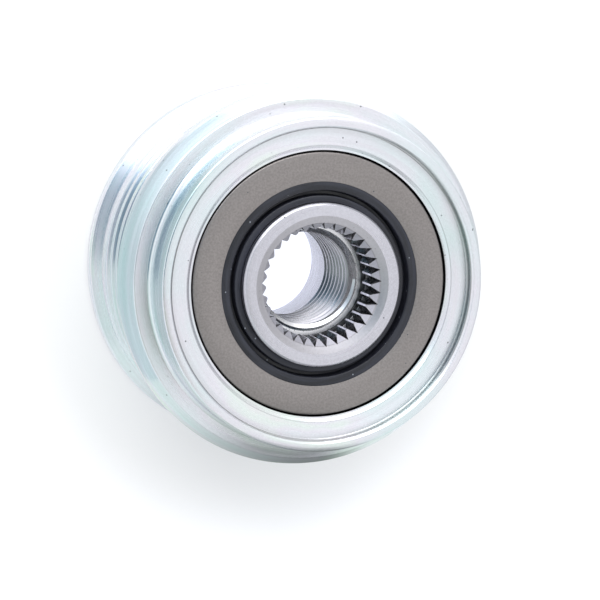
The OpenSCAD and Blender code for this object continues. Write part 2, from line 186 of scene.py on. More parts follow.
track = groove(rear_groove_z)[1:]
for i in range(row_grooves):
    track += groove(front_row_z + i * groove_pitch)
track = track[:-1]
print("corners in the belt track:", len(track))

# %% [markdown]
# The rim is one turned piece of plated steel. From the back it has a thin flange, the belt track,
# the heavy front flange with its cone, and a collar with the cap's recess and snap groove. Inside
# it steps to the seats of the seals and of the bearing sleeve, which meet the solids there.

# %% The rim
rear_flange_w = 2.05
land_z = front_row_z + row_grooves * groove_pitch - rib_w + (flange_r - crest_r) * flank_slope
collar_r = 25.4
recess_r = 23.8
snap_r = 24.2
step_r = 21.1
recess_z = rim_top - 1.95
seat_z = recess_z - 0.4
sleeve_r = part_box("outer_sleeve")[1].x / MM
sleeve_seat_gap = 0.2
rear_seat_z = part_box("outer_sleeve")[0].z / MM - sleeve_seat_gap
front_seat_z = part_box("outer_sleeve")[1].z / MM + sleeve_seat_gap

rim_corners = [
    (seal_r + 0.45, 0, 0.08),
    (flange_r, 0, 0.45),
    (flange_r, rear_flange_w, 0.45),
    *track,
    (flange_r, land_z, 0.2),
    (flange_r, land_z + 1.87, 0.12),
    (flange_r - 0.2, land_z + 2.77, 0.2),
    (flange_r - 1.45, land_z + 5.12, 0.25),
    (collar_r, land_z + 4.97, 0.65),
    (collar_r, rim_top, 0.3),
    (recess_r + 0.35, rim_top, 0.05),
    (recess_r, rim_top - 0.35, 0.05),
    (recess_r, recess_z + 1.4, 0.03),
    (snap_r, recess_z + 1.4, 0.03),
    (snap_r, recess_z + 0.3, 0.05),
    (recess_r, recess_z + 0.3, 0.03),
    (recess_r, recess_z, 0.15),
    (step_r, recess_z, 0.06),
    (step_r - 0.4, seat_z, 0.04),
    (seal_r + 0.24, seat_z, 0.05),
    (seal_r + 0.2, front_plate_high - 0.9, 0),
    (seal_r, front_plate_high - 1.1, 0),
    (seal_r, front_seat_z, 0),
    (sleeve_r, front_seat_z, 0),
    (sleeve_r, rear_seat_z, 0),
    (seal_r, rear_seat_z, 0),
    (seal_r, 0.45, 0.05),
]
rim = turn("rim_turned", rim_corners, "pulley", "pulley_rim", segments=320)

# %% [markdown]
# The seals are pressed steel rings with rubber moulded on their inner edge. The rear one is the
# front one's twin, facing the other way. Both outlines are drawn inwards from the seal's face,
# and one function puts them at their height, so the twins can't differ.


# %% Outlines of the seals
def facing(corners, face_z, way):
    """Puts an outline at its face's height. way is 1 where inwards is up, -1 where it's down."""
    return [(r, face_z + way * depth, rounding) for r, depth, rounding in corners]


plate_inner_r = 15.63
plate_t = 1.2


def carrier_corners(rim_len):
    return [
        (plate_inner_r, 0, 0.08),
        (seal_r, 0, 0.3),
        (seal_r, rim_len, 0.1),
        (seal_r - 1.1, rim_len, 0.1),
        (seal_r - 1.1, plate_t, 0.2),
        (plate_inner_r, plate_t, 0.05),
    ]


lip_corners = [
    (plate_inner_r, 0.02, 0.05),
    (plate_inner_r, plate_t, 0),
    (16.53, plate_t, 0.05),
    (16.53, 1.7, 0.2),
    (14.29, 2.7, 0.2),
    (13.53, 2.7, 0.2),
    (12.55, 2.35, 0.1),
    (12.85, 1.3, 0.1),
    (12.55, 0.7, 0.08),
    (12.55, 0.3, 0.1),
    (13.53, 0.3, 0.22),
    (13.53, 2.0, 0.2),
    (14.29, 2.0, 0.2),
    (14.29, 0.02, 0.25),
]
print(f"rubber lip's gap to the hub: {min(c[0] for c in lip_corners) - hub_r:.2f} mm")

# %% [markdown]
# A plate and its rubber are two materials on the real seal, so they're two pieces here as well.
# They meet at one radius and one height, as moulded rubber does, and no gap shows between them.

# %% The seals
seals = {}
for side, face_z, way, rim_len in (
    ("front", front_plate_high, -1, front_plate_high - front_plate_low),
    ("rear", rear_plate_low, 1, rear_plate_high - rear_plate_low),
):
    seals[side + "_plate"] = turn(
        f"{side}_seal_plate", facing(carrier_corners(rim_len), face_z, way),
        "pulley", f"{side}_seal_carrier", segments=256,
    )
    seals[side + "_rubber"] = turn(
        f"{side}_seal_rubber", facing(lip_corners, face_z, way),
        "pulley", f"{side}_seal_lip", segments=256,
    )

# %% [markdown]
# The hub is turned, then broached and tapped. The same order works here: first a turned blank
# with its dished face, lead-in cone, undercut, countersink and pilot bore. Its teeth and thread
# aren't round all the way, so a spin alone can't make them, and they are cut afterwards.

# %% The hub's blank
tooth_count = 33
tip_r = 8.45
root_r = 9.57
lead_in_r = 9.47
dish_r = 10.55
lead_in_z = hub_top - (dish_r - lead_in_r) * math.tan(math.radians(22))
tip_z = lead_in_z - (lead_in_r - tip_r) * math.tan(math.radians(54))
pilot_r = 8.5
thread_minor_r = 7.19
thread_z = hub_bottom + 10.8
countersink_z = thread_z + 11.8
socket_z = countersink_z + 1.3
teeth_z = socket_z + 1.6
undercut_r = 9.7

hub_corners = [
    (pilot_r + 0.5, hub_bottom, 0.05),
    (hub_r - 0.3, hub_bottom, 0.05),
    (hub_r, hub_bottom + 0.3, 0.05),
    (hub_r, hub_top - 0.3, 0.06),
    (hub_r - 0.3, hub_top, 0.06),
    (dish_r, hub_top, 0.08),
    (lead_in_r, lead_in_z, 0),
    (tip_r, tip_z, 0),
    (tip_r, teeth_z, 0),
    (undercut_r, teeth_z, 0),
    (undercut_r, socket_z, 0.15),
    (8.1, socket_z, 0.05),
    (thread_minor_r, countersink_z, 0),
    (thread_minor_r, thread_z, 0),
    (pilot_r, thread_z, 0.1),
    (pilot_r, hub_bottom + 0.5, 0.05),
]
hub_blank = finish_mesh(turned_bmesh(rounded(hub_corners), tooth_count * 8), "hub_turned")
print("hub blank:", len(hub_blank.data.polygons), "faces")

# %% [markdown]
# A broach is a star-shaped tool that is pushed through the bore and leaves the 33 teeth of the
# socket. Here it's a prism with one ridge for each gap. One extrusion of a star-shaped face
# makes it, and where it leaves the cone, the teeth run out in points by themselves.

# %% The broach
tooth_turn = math.radians(3.85)
broach_past_teeth = 0.8
broach_past_face = 1.0


def star_broach():
    """A prism with one pointed ridge for each tooth gap."""
    bm = bmesh.new()
    tip_half = math.asin(0.15 / tip_r)
    half_gap = math.pi / tooth_count - tip_half
    low = (teeth_z - broach_past_teeth) * MM
    verts = []
    for i in range(tooth_count):
        middle = tooth_turn + i * 2 * math.pi / tooth_count
        root = Vector((math.cos(middle), math.sin(middle))) * root_r
        for turn_by in (-half_gap, 0, half_gap):
            edge = Vector((math.cos(middle + turn_by), math.sin(middle + turn_by))) * tip_r
            p = root if turn_by == 0 else root + (edge - root) * 1.1
            verts.append(bm.verts.new((p.x * MM, p.y * MM, low)))
    face = bm.faces.new(verts)
    grown = bmesh.ops.extrude_face_region(bm, geom=[face])["geom"]
    top = [v for v in grown if isinstance(v, bmesh.types.BMVert)]
    length = (hub_top + broach_past_face - teeth_z + broach_past_teeth) * MM
    bmesh.ops.translate(bm, verts=top, vec=(0, 0, length))
    return finish_mesh(bm, "broach")


broach = star_broach()
print("broach:", len(broach.data.polygons), "faces")

# %% [markdown]
# The M16 x 1.5 thread is a groove that climbs 1.5 mm with each turn. A bump pattern would look
# flat in the open bore, so a real coil is cut. The spin operator makes the tap: it turns the
# groove's section round the axis and lifts it a little with each step.

# %% The tap
thread_major_r = 8.0
thread_pitch = 1.5
thread_turns = 9
steps_per_turn = 96


def thread_tap():
    """A coil with the section of the thread's groove and a flat an eighth of a pitch wide."""
    bm = bmesh.new()
    start_z = thread_z - thread_pitch / 2
    inner_r = thread_minor_r - 0.2
    flat = thread_pitch / 16  # half the flat, to each side of the middle
    wide = flat + (thread_major_r - inner_r) * math.tan(math.radians(30))
    section = [(inner_r, -wide), (thread_major_r, -flat), (thread_major_r, flat), (inner_r, wide)]
    face = bm.faces.new([bm.verts.new((r * MM, 0, (start_z + z) * MM)) for r, z in section])
    bmesh.ops.spin(
        bm, geom=[face, *face.verts, *face.edges], cent=(0, 0, 0), axis=(0, 0, 1),
        dvec=(0, 0, thread_pitch * MM / steps_per_turn), angle=2 * math.pi * thread_turns,
        steps=steps_per_turn * thread_turns,
    )
    return finish_mesh(bm, "tap")


tap = thread_tap()
print("tap:", len(tap.data.polygons), "faces")

# %% [markdown]
# Both tools are taken out of the blank with an exact boolean, which keeps thin tooth tips whole.
# The modifier's result is read back as a plain mesh, so nothing is left to work out later.


# %% Cut the socket and the thread
def cut_with(piece, cutter):
    """Takes the cutter's shape out of the piece and removes the cutter."""
    modifier = piece.modifiers.new("cut", "BOOLEAN")
    modifier.object = cutter
    modifier.operation = "DIFFERENCE"
    modifier.solver = "EXACT"
    bpy.context.view_layer.update()
    solved = piece.evaluated_get(bpy.context.evaluated_depsgraph_get())
    cut_mesh = bpy.data.meshes.new_from_object(solved)
    piece.modifiers.clear()
    piece.data = cut_mesh
    bpy.data.objects.remove(cutter)
    print("after a cut:", len(cut_mesh.polygons), "faces")


cut_with(hub_blank, broach)
cut_with(hub_blank, tap)

# %% [markdown]
# The broached flanks are darkened to near black, while the lands between them stay bright. A
# number on each face marks the flanks, and the hub's material reads it later. That's simpler than
# a second material, because the fine grain then runs on without a break.

# %% Mark the broached flanks
bm = bmesh.new()
bm.from_mesh(hub_blank.data)
bpy.data.objects.remove(hub_blank)
broached = bm.faces.layers.float.new("broached")
cut_faces = 0
for face in bm.faces:
    centre = face.calc_center_median() / MM
    upright = abs(face.normal.z) < 0.1 and teeth_z - 0.9 < centre.z < lead_in_z + 0.1
    if upright and tip_r + 0.05 < centre.xy.length < root_r + 0.05:
        face[broached] = 1.0
        cut_faces += 1
print("broached faces:", cut_faces)
hub = finish_mesh(bm, "hub_machined", sharp_angle=24)
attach(hub, "hub")
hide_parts("inner_ring")
print(f"hub: {len(hub.data.polygons)} faces")

# %% [markdown]
# Finishes that several materials share are node groups: fine turning lines, drifting tint, specks
# and mottling. Building nodes takes many small steps, so these helpers come first. Each adds a
# node, sets or links its inputs, and hands back the output, so that they can be nested like sums.


# %% Helpers for node trees
def new_group(name, inputs, outputs):
    """An empty shader group. Inputs are (label, default); outputs are (label, socket type)."""
    tree = bpy.data.node_groups.new(name, "ShaderNodeTree")
    for label, default in inputs:
        socket = tree.interface.new_socket(label, in_out="INPUT", socket_type="NodeSocketFloat")
        socket.default_value = default
    for label, kind in outputs:
        tree.interface.new_socket(label, in_out="OUTPUT", socket_type=kind)
    return tree, tree.nodes.new("NodeGroupInput").outputs, tree.nodes.new("NodeGroupOutput").inputs


def put(tree, socket, value):
    """Links a socket to another, or sets it to a plain value."""
    if isinstance(value, bpy.types.NodeSocket):
        tree.links.new(value, socket)
    else:
        socket.default_value = value


def calc(tree, operation, *values):
    node = tree.nodes.new("ShaderNodeMath")
    node.operation = operation
    for socket, value in zip(node.inputs, values):
        put(tree, socket, value)
    return node.outputs[0]


def times(tree, a, b):
    return calc(tree, "MULTIPLY", a, b)


def span(tree, value, low, high, new_low=0.0, new_high=1.0):
    """Maps a value from one span to another and holds it there, with soft ends."""
    node = tree.nodes.new("ShaderNodeMapRange")
    node.interpolation_type = "SMOOTHSTEP"
    labels = ("Value", "From Min", "From Max", "To Min", "To Max")
    for label, number in zip(labels, (value, low, high, new_low, new_high)):
        put(tree, node.inputs[label], number)
    return node.outputs["Result"]


def mix_colour(tree, share, a, b, blend="MIX"):
    """Mixes two colours: all of a at share 0, all of b at share 1."""
    node = tree.nodes.new("ShaderNodeMix")
    node.data_type = "RGBA"
    node.blend_type = blend
    put(tree, node.inputs[0], share)
    put(tree, node.inputs[6], a)
    put(tree, node.inputs[7], b)
    return node.outputs[2]


def opaque(colour, factor=1.0):
    """A colour with its alpha, made lighter or darker by a factor."""
    return tuple(c * factor for c in colour) + (1,)


print("half of white:", opaque((1, 1, 1), 0.5))

# %% [markdown]
# Everything on this part was made on a lathe, so its marks follow the distance from the axis and
# the height, and hardly change round it. Noise in plain Object coordinates suits cast or rubbed
# surfaces. For turned ones the noise is fed with radius, height and direction instead.


# %% Coordinates and noise
def object_xyz(tree):
    """Object coordinates, in metres, whole and as three values."""
    where = tree.nodes.new("ShaderNodeTexCoord").outputs["Object"]
    split = tree.nodes.new("ShaderNodeSeparateXYZ")
    tree.links.new(where, split.inputs[0])
    return where, split.outputs


def round_coordinates(tree):
    """Distance from the axis, height, and the direction round the axis."""
    x, y, z = object_xyz(tree)[1]
    r = calc(tree, "SQRT", calc(tree, "ADD", times(tree, x, x), times(tree, y, y)))
    safe_r = calc(tree, "MAXIMUM", r, 1 * MM)
    return r, z, calc(tree, "DIVIDE", x, safe_r), calc(tree, "DIVIDE", y, safe_r)


def ring_noise(tree, places, detail=2.0, roughness=0.5):
    """Noise over four values: radius, height and the direction's two parts."""
    node = tree.nodes.new("ShaderNodeTexNoise")
    node.noise_dimensions = "4D"
    vector = tree.nodes.new("ShaderNodeCombineXYZ")
    for socket, value in zip(vector.inputs, places[:3]):
        put(tree, socket, value)
    tree.links.new(vector.outputs[0], node.inputs["Vector"])
    put(tree, node.inputs["W"], places[3])
    for label, number in (("Scale", 1.0), ("Detail", detail), ("Roughness", roughness)):
        node.inputs[label].default_value = number
    return node.outputs["Fac"]


def plain_noise(tree, scale, detail=2.0, roughness=0.5):
    """Noise in Object coordinates, the same in every direction."""
    node = tree.nodes.new("ShaderNodeTexNoise")
    tree.links.new(object_xyz(tree)[0], node.inputs["Vector"])
    put(tree, node.inputs["Scale"], scale)
    node.inputs["Detail"].default_value = detail
    node.inputs["Roughness"].default_value = roughness
    return node.outputs["Fac"]


print("noises: ring_noise for turned faces, plain_noise for the rest")

# %% [markdown]
# The turning tool leaves fine rings, and broader streaks where it was fed a little faster or
# chattered. Real grooves would need millions of faces, so a height for the bump and a streak
# mask are enough here. The rings fade in and out round the part, as worn tool marks do.


# %% Turning marks
def make_turning_marks():
    tree, given, out = new_group(
        "turning_marks",
        [("Lines per mm", 9.0), ("Change round", 0.8)],
        [("Height", "NodeSocketFloat"), ("Streak", "NodeSocketFloat")],
    )
    r, z, along_x, along_y = round_coordinates(tree)
    per_metre = times(tree, given["Lines per mm"], 1000)
    turned = [times(tree, along, given["Change round"]) for along in (along_x, along_y)]
    fine = [times(tree, place, per_metre) for place in (r, z)]
    tree.links.new(ring_noise(tree, fine + turned), out["Height"])
    broad = [times(tree, place, 0.22) for place in fine]
    streak = ring_noise(tree, broad + turned, detail=3.0, roughness=0.65)
    tree.links.new(streak, out["Streak"])
    return tree


turning_marks = make_turning_marks()
print("turning marks:", len(turning_marks.nodes), "nodes")

# %% [markdown]
# Zinc plating with a clear passivation has a faint tint that drifts between blue, lilac and
# green. A colour ramp holds the tints, and two noises choose among them: narrow bands that
# follow the turning, and broad patches where the bath left the film thicker.


# %% Plating tint
def make_plating_tint():
    tree, given, out = new_group("plating_tint", [("Amount", 1.0)], [("Tint", "NodeSocketColor")])
    r, z, along_x, along_y = round_coordinates(tree)
    bands = ring_noise(tree, (times(tree, r, 420), times(tree, z, 420), along_x, along_y))
    scaled = ((r, 60), (z, 60), (along_x, 1.6), (along_y, 1.6))
    patches = ring_noise(tree, [times(tree, place, by) for place, by in scaled], detail=3.0)
    ramp = tree.nodes.new("ShaderNodeValToRGB")
    stops = ramp.color_ramp.elements
    stops[0].position, stops[0].color = 0.30, (0.80, 0.97, 0.97, 1)
    stops[1].position, stops[1].color = 0.72, (0.98, 0.93, 0.97, 1)
    stops.new(0.44).color = (0.90, 0.95, 1.0, 1)
    stops.new(0.54).color = (0.95, 0.92, 1.0, 1)
    stops.new(0.62).color = (0.93, 1.0, 0.97, 1)
    share = calc(tree, "ADD", times(tree, bands, 0.45), times(tree, patches, 0.55))
    tree.links.new(share, ramp.inputs[0])
    tint = mix_colour(tree, given["Amount"], (1, 1, 1, 1), ramp.outputs[0])
    tree.links.new(tint, out["Tint"])
    return tree


plating_tint = make_plating_tint()
print("plating tint:", len(plating_tint.nodes), "nodes")

# %% [markdown]
# Small pits, oil specks and dust are dots with clean surface between them. A cell texture gives
# each cell a centre and a random colour: the distance to the centre draws the dot, and the
# colour decides which cells have one, so the dots are scattered and not in a grid.


# %% Specks
def make_specks():
    tree, given, out = new_group(
        "specks",
        [("Cells per mm", 1.0), ("Size", 0.16), ("Share", 0.35)],
        [("Mask", "NodeSocketFloat")],
    )
    cells = tree.nodes.new("ShaderNodeTexVoronoi")
    tree.links.new(object_xyz(tree)[0], cells.inputs["Vector"])
    put(tree, cells.inputs["Scale"], times(tree, given["Cells per mm"], 1000))
    size = given["Size"]
    dot = span(tree, cells.outputs["Distance"], times(tree, size, 0.5), size, 1, 0)
    lot = tree.nodes.new("ShaderNodeSeparateColor")
    tree.links.new(cells.outputs["Color"], lot.inputs[0])
    chosen = calc(tree, "LESS_THAN", lot.outputs[0], given["Share"])
    tree.links.new(times(tree, dot, chosen), out["Mask"])
    return tree


specks = make_specks()
print("specks:", len(specks.nodes), "nodes")

# %% [markdown]
# Phosphated and blasted steel has a satin skin: seen close, lighter and darker grains lie side by
# side. The group puts out a grey around 1, and the materials multiply their colour by it.


# %% Satin mottling
def make_mottling():
    tree, given, out = new_group(
        "mottling", [("Grains per mm", 3.0)], [("Shade", "NodeSocketColor")]
    )
    scale = times(tree, given["Grains per mm"], 1000)
    grain = plain_noise(tree, scale, detail=4.0, roughness=0.65)
    level = span(tree, grain, 0.32, 0.68, 0.55, 1.35)
    whole = tree.nodes.new("ShaderNodeCombineColor")
    for socket in whole.inputs:
        tree.links.new(level, socket)
    tree.links.new(whole.outputs[0], out["Shade"])
    return tree


mottling = make_mottling()
print("node groups:", [g.name for g in bpy.data.node_groups])

# %% [markdown]
# A Principled shader does the actual reflecting in every material, and the groups only feed its
# sockets. Its anisotropy matters for turned metal: fine rings spread a highlight across
# themselves, which gives the bright wedges that run over a lathe-turned face.


# %% Material helpers
def new_material(name, metallic, roughness):
    """A material with its Principled shader, whose plain values are set on its own sockets."""
    material = bpy.data.materials.new(name)
    material.use_nodes = True
    shader = material.node_tree.nodes["Principled BSDF"]
    shader.inputs["Metallic"].default_value = metallic
    shader.inputs["Roughness"].default_value = roughness
    return material, material.node_tree, shader


def use_group(tree, group, **values):
    node = tree.nodes.new("ShaderNodeGroup")
    node.node_tree = group
    for label, value in values.items():
        node.inputs[label.replace("_", " ")].default_value = value
    return node.outputs


def add_bump(tree, shader, height, strength, distance):
    bump = tree.nodes.new("ShaderNodeBump")
    bump.inputs["Strength"].default_value = strength
    bump.inputs["Distance"].default_value = distance
    tree.links.new(height, bump.inputs["Height"])
    tree.links.new(bump.outputs["Normal"], shader.inputs["Normal"])


def give_ring_grain(tree, shader, amount):
    """Stretches highlights across the turning lines, as on any lathe-turned face."""
    tangent = tree.nodes.new("ShaderNodeTangent")
    tangent.direction_type = "RADIAL"
    tangent.axis = "Z"
    tree.links.new(tangent.outputs[0], shader.inputs["Tangent"])
    shader.inputs["Anisotropic"].default_value = amount
    shader.inputs["Anisotropic Rotation"].default_value = 0.25


print("shared groups for the materials:", len(bpy.data.node_groups))

# %% [markdown]
# All the metals are one recipe with different amounts: a colour with streaks, satin grains,
# plating tint and dark pits, a roughness that follows the streaks, ring grain, and fine lines as
# bump. Two optional functions add what belongs to one piece only: shade and dull places.

# %% The recipe for turned metal
pit_colour = (0.10, 0.11, 0.13)
line_height = 0.02 * MM


def metal(name, colour, rough, grain, lines_per_mm, bump,
          tint=0.0, pit_share=0.0, mottle=0.0, shading=None, dull=None):
    """A turned metal. rough is its lowest and highest roughness."""
    material, tree, shader = new_material(name, 1.0, rough[0])
    marks = use_group(tree, turning_marks, Lines_per_mm=lines_per_mm)
    roughness = span(tree, marks["Streak"], 0.3, 0.7, *rough)
    if dull:
        roughness = calc(tree, "ADD", roughness, dull(tree))
    tree.links.new(roughness, shader.inputs["Roughness"])
    streak = span(tree, marks["Streak"], 0.35, 0.65)
    shade = mix_colour(tree, streak, opaque(colour, 0.92), opaque(colour))
    if mottle:
        satin = use_group(tree, mottling)
        shade = mix_colour(tree, mottle, shade, satin["Shade"], "MULTIPLY")
    if tint:
        tinted = use_group(tree, plating_tint, Amount=tint)
        shade = mix_colour(tree, 1.0, shade, tinted["Tint"], "MULTIPLY")
    if pit_share:
        pits = use_group(tree, specks, Cells_per_mm=0.9, Size=0.13, Share=pit_share)
        shade = mix_colour(tree, pits["Mask"], shade, opaque(pit_colour))
    if shading:
        shade = shading(tree, shade)
    tree.links.new(shade, shader.inputs["Base Color"])
    give_ring_grain(tree, shader, grain)
    add_bump(tree, shader, marks["Height"], bump, line_height)
    print(f"{name}: {len(tree.nodes)} nodes")
    return material


# %% [markdown]
# The same steel looks different in a bore, a groove or on a face: oil gathers where nothing rubs
# it off, and the hollows lie in shade, which is painted here as well. Painting such places would
# need an image. Here they're found by their radius and height, in millimetres, like on a drawing.


# %% Finding a place on the part
def grows(tree, value, start, end):
    """0 before the start and 1 after the end. Both are in millimetres."""
    return span(tree, value, start * MM, end * MM)


def band(tree, value, low, high, soft):
    """1 between two places in millimetres, with soft ends."""
    above = grows(tree, value, low - soft, low)
    return times(tree, above, span(tree, value, high * MM, (high + soft) * MM, 1, 0))


def mix_in_tone(tree, colour, mask, share, tone):
    """Mixes a share of a tone into the colour where the mask is 1: for stains, painted shade and
    light.
    """
    return mix_colour(tree, times(tree, mask, share), colour, opaque(tone))


print("places are found by radius and height, with soft edges of 0.02 mm and more")

# %% [markdown]
# The hub's outer face is ground and bright. The broached flanks are darkened to near black, in
# patches. The thread is darkened, its roots get painted shade, and the pilot bore lies in painted
# shade. Under the teeth a ring is lightened with painted light and carries oil specks, the
# undercut gets a painted shadow, and the dish a little brown dirt. One function follows these
# places from the bore to the face.

# %% The hub's stains and painted light
flank_black = (0.020, 0.017, 0.016)
oil_and_shade_black = (0.03, 0.03, 0.03)


def hub_stains_and_painted_light(tree, colour):
    """Darkens the flanks, the dish and the thread, paints shade into the thread's roots, the bore
    and the undercut, and paints light onto the ring under the teeth, which gets oil specks.
    """
    r, z, _, _ = round_coordinates(tree)
    flanks = tree.nodes.new("ShaderNodeAttribute")
    flanks.attribute_name = "broached"
    patches = span(tree, plain_noise(tree, 1400, detail=3.0), 0.40, 0.64, 0.98, 0.72)
    colour = mix_in_tone(tree, colour, times(tree, flanks.outputs["Fac"], patches), 1.0, flank_black)

    # Painted shade in the pilot bore.
    below_thread = grows(tree, z, thread_z, thread_z - 0.2)
    bore = times(tree, below_thread, grows(tree, r, pilot_r + 0.5, pilot_r + 0.2))
    colour = mix_in_tone(tree, colour, bore, 0.25, (0.10, 0.10, 0.12))
    thread = band(tree, z, thread_z + 0.2, countersink_z - 0.1, 0.2)
    thread = times(tree, thread, grows(tree, r, thread_major_r + 1.5, thread_major_r + 1.0))
    colour = mix_in_tone(tree, colour, thread, 0.46, (0.10, 0.10, 0.09))
    # Painted shade in the thread's roots.
    roots = times(tree, thread, grows(tree, r, thread_minor_r + 0.16, thread_major_r - 0.1))
    colour = mix_in_tone(tree, colour, roots, 0.75, (0.05, 0.05, 0.045))

    dish = band(tree, r, lead_in_r - 0.1, dish_r, 0.04)
    dish = times(tree, dish, grows(tree, z, tip_z, lead_in_z))
    colour = mix_in_tone(tree, colour, dish, 0.24, (0.15, 0.13, 0.09))
    # Painted light: the ring under the teeth is lightened. Oil specks on it and on the dish are
    # dirt.
    ring = band(tree, z, countersink_z - 0.2, socket_z + 0.3, 0.2)
    ring = times(tree, ring, grows(tree, r, undercut_r + 0.2, undercut_r))
    colour = mix_in_tone(tree, colour, ring, 0.6, (0.93, 0.93, 0.94))
    oil = use_group(tree, specks, Cells_per_mm=2.2, Size=0.22, Share=0.3)
    oily = times(tree, calc(tree, "MAXIMUM", ring, times(tree, dish, 0.4)), oil["Mask"])
    colour = mix_in_tone(tree, colour, oily, 0.75, oil_and_shade_black)
    # Painted shadow in the undercut under the teeth.
    undercut = band(tree, z, socket_z - 0.05, teeth_z - 0.02, 0.1)
    undercut = times(tree, undercut, band(tree, r, undercut_r - 0.92, undercut_r + 0.2, 0.12))
    return mix_in_tone(tree, colour, undercut, 0.7, oil_and_shade_black)


def hub_dull(tree):
    """The dish and the cone are only turned, not ground, so they're rougher than the face."""
    r, z, _, _ = round_coordinates(tree)
    dish = times(tree, band(tree, r, lead_in_r - 0.1, dish_r, 0.04), 0.2)
    cone = times(tree, band(tree, r, tip_r - 0.1, lead_in_r - 0.05, 0.04), 0.38)
    high = grows(tree, z, tip_z - 0.3, tip_z)
    return times(tree, high, calc(tree, "MAXIMUM", dish, cone))


hub_steel = metal(
    "hub_steel", (0.66, 0.65, 0.71), rough=(0.20, 0.34), grain=0.35, lines_per_mm=6.0, bump=0.2,
    pit_share=0.05, mottle=0.12, shading=hub_stains_and_painted_light, dull=hub_dull,
)

# %% [markdown]
# The rim is bright with its plating. Only the recess is darkened: its wall, as bare steel and
# painted shade, the foot of the wall with painted shade, a thin ring at the step to the seal, and
# the seat deep down with painted shade that is nearly black.

# %% The rim's stains and painted shade
painted_seat_shade = (0.02, 0.02, 0.03)


def rim_stains_and_painted_shade(tree, colour):
    """Paints shade at the recess's foot and deep in the seat round the seal, darkens its wall as
    bare steel and painted shade, and darkens a thin ring at the step.
    """
    r, z, _, _ = round_coordinates(tree)
    inside = band(tree, z, recess_z - 0.1, rim_top - 0.3, 0.05)
    # Painted shade at the foot of the recess's wall.
    foot = times(tree, inside, grows(tree, r, recess_r - 1.2, recess_r))
    colour = mix_in_tone(tree, colour, foot, 0.15, (0.20, 0.20, 0.18))
    # The wall and the snap groove: bare steel and painted shade.
    wall = times(tree, inside, band(tree, r, recess_r - 0.05, snap_r - 0.03, 0.03))
    colour = mix_in_tone(tree, colour, wall, 0.45, (0.30, 0.30, 0.27))
    # A thin darker ring on the step to the seal.
    line = times(tree, inside, band(tree, r, step_r - 0.02, step_r + 0.10, 0.05))
    colour = mix_in_tone(tree, colour, line, 0.25, (0.20, 0.22, 0.24))
    # Painted shade deep in the seat, the narrow gap round the seal.
    deep = grows(tree, z, seat_z - 0.02, seat_z - 0.1)
    seat = times(tree, deep, band(tree, r, seal_r - 0.05, seal_r + 0.23, 0.02))
    return mix_in_tone(tree, colour, seat, 0.9, painted_seat_shade)


plated = metal(
    "plated_steel", (0.92, 0.93, 0.925), rough=(0.16, 0.30), grain=0.70, lines_per_mm=4.0,
    bump=0.18, tint=0.9, pit_share=0.10, mottle=0.05, shading=rim_stains_and_painted_shade,
)

# %% [markdown]
# The seal's plate is darker and satin, with strong grains. The bearing parts and the springs are
# hidden inside, and show only when the part is taken apart. They use the plain recipe: hardened
# steel is smooth and finely ground, and the springs have a faint straw colour.

# %% The other metals
seal_steel = metal(
    "seal_steel", (0.335, 0.308, 0.300), rough=(0.36, 0.44), grain=0.10, lines_per_mm=2.0,
    bump=0.1, pit_share=0.10, mottle=0.26,
)
bearing_steel = metal(
    "bearing_steel", (0.66, 0.67, 0.69), rough=(0.14, 0.24), grain=0.2, lines_per_mm=9.0, bump=0.15
)
spring_steel = metal(
    "spring_steel", (0.70, 0.66, 0.52), rough=(0.2, 0.35), grain=0.1, lines_per_mm=5.0, bump=0.2
)

# %% [markdown]
# The seal's rubber is moulded in a turned mould, so it carries faint rings as well, and light
# dust sits on it. Its lighter rings also stand in for sheen, as a painted sheen. Black rubber
# isn't pure black: it's a very dark colour with a soft sheen. The nylon of the cages takes the
# same recipe in a pale green grey, with no dust.

# %% Rubber and nylon
soft_line_height = 0.04 * MM


def soft_material(name, colour, roughness, grain_scale, dust_share, dust_colour):
    material, tree, shader = new_material(name, 0.0, roughness)
    dust = use_group(tree, specks, Cells_per_mm=1.2, Size=0.16, Share=dust_share)
    scaled = zip(round_coordinates(tree), (900, 900, 5, 5))
    cloud = ring_noise(tree, [times(tree, place, by) for place, by in scaled], detail=3.0)
    base = mix_colour(tree, cloud, opaque(colour, 0.6), opaque(colour, 1.4))
    satin = use_group(tree, mottling, Grains_per_mm=5.0)
    base = mix_colour(tree, 0.8, base, satin["Shade"], "MULTIPLY")
    marks = use_group(tree, turning_marks, Lines_per_mm=5.0, Change_round=1.5)
    streak = span(tree, marks["Streak"], 0.35, 0.65)
    # Lighter rings: moulded rings and a painted sheen.
    base = mix_colour(tree, streak, base, opaque(colour, 2.2))
    base = mix_colour(tree, dust["Mask"], base, opaque(dust_colour))
    tree.links.new(base, shader.inputs["Base Color"])
    rough = span(tree, cloud, 0.3, 0.7, roughness * 0.8, roughness * 1.2)
    rough = times(tree, rough, span(tree, streak, 0, 1, 0.85, 1.2))
    tree.links.new(rough, shader.inputs["Roughness"])
    height = calc(tree, "ADD", plain_noise(tree, grain_scale), marks["Height"])
    add_bump(tree, shader, height, 0.6, soft_line_height)
    print(f"{name}: {len(tree.nodes)} nodes")
    return material


rubber = soft_material("seal_rubber", (0.011, 0.012, 0.018), 0.40, 2500, 0.16, (0.30, 0.33, 0.38))
nylon = soft_material("cage_plastic", (0.11, 0.13, 0.11), 0.5, 3000, 0.0, (0.2, 0.2, 0.2))

# %% [markdown]
# Now every piece gets its material. The solids of the frame get one as well, also those that the
# turned pieces stand for, so no surface is left grey wherever the part is opened or shown.


# %% Give every piece its material
def dress(piece, material):
    piece.data.materials.clear()
    piece.data.materials.append(material)


dress(rim, plated)
dress(hub, hub_steel)
for name, piece in seals.items():
    dress(piece, rubber if name.endswith("rubber") else seal_steel)

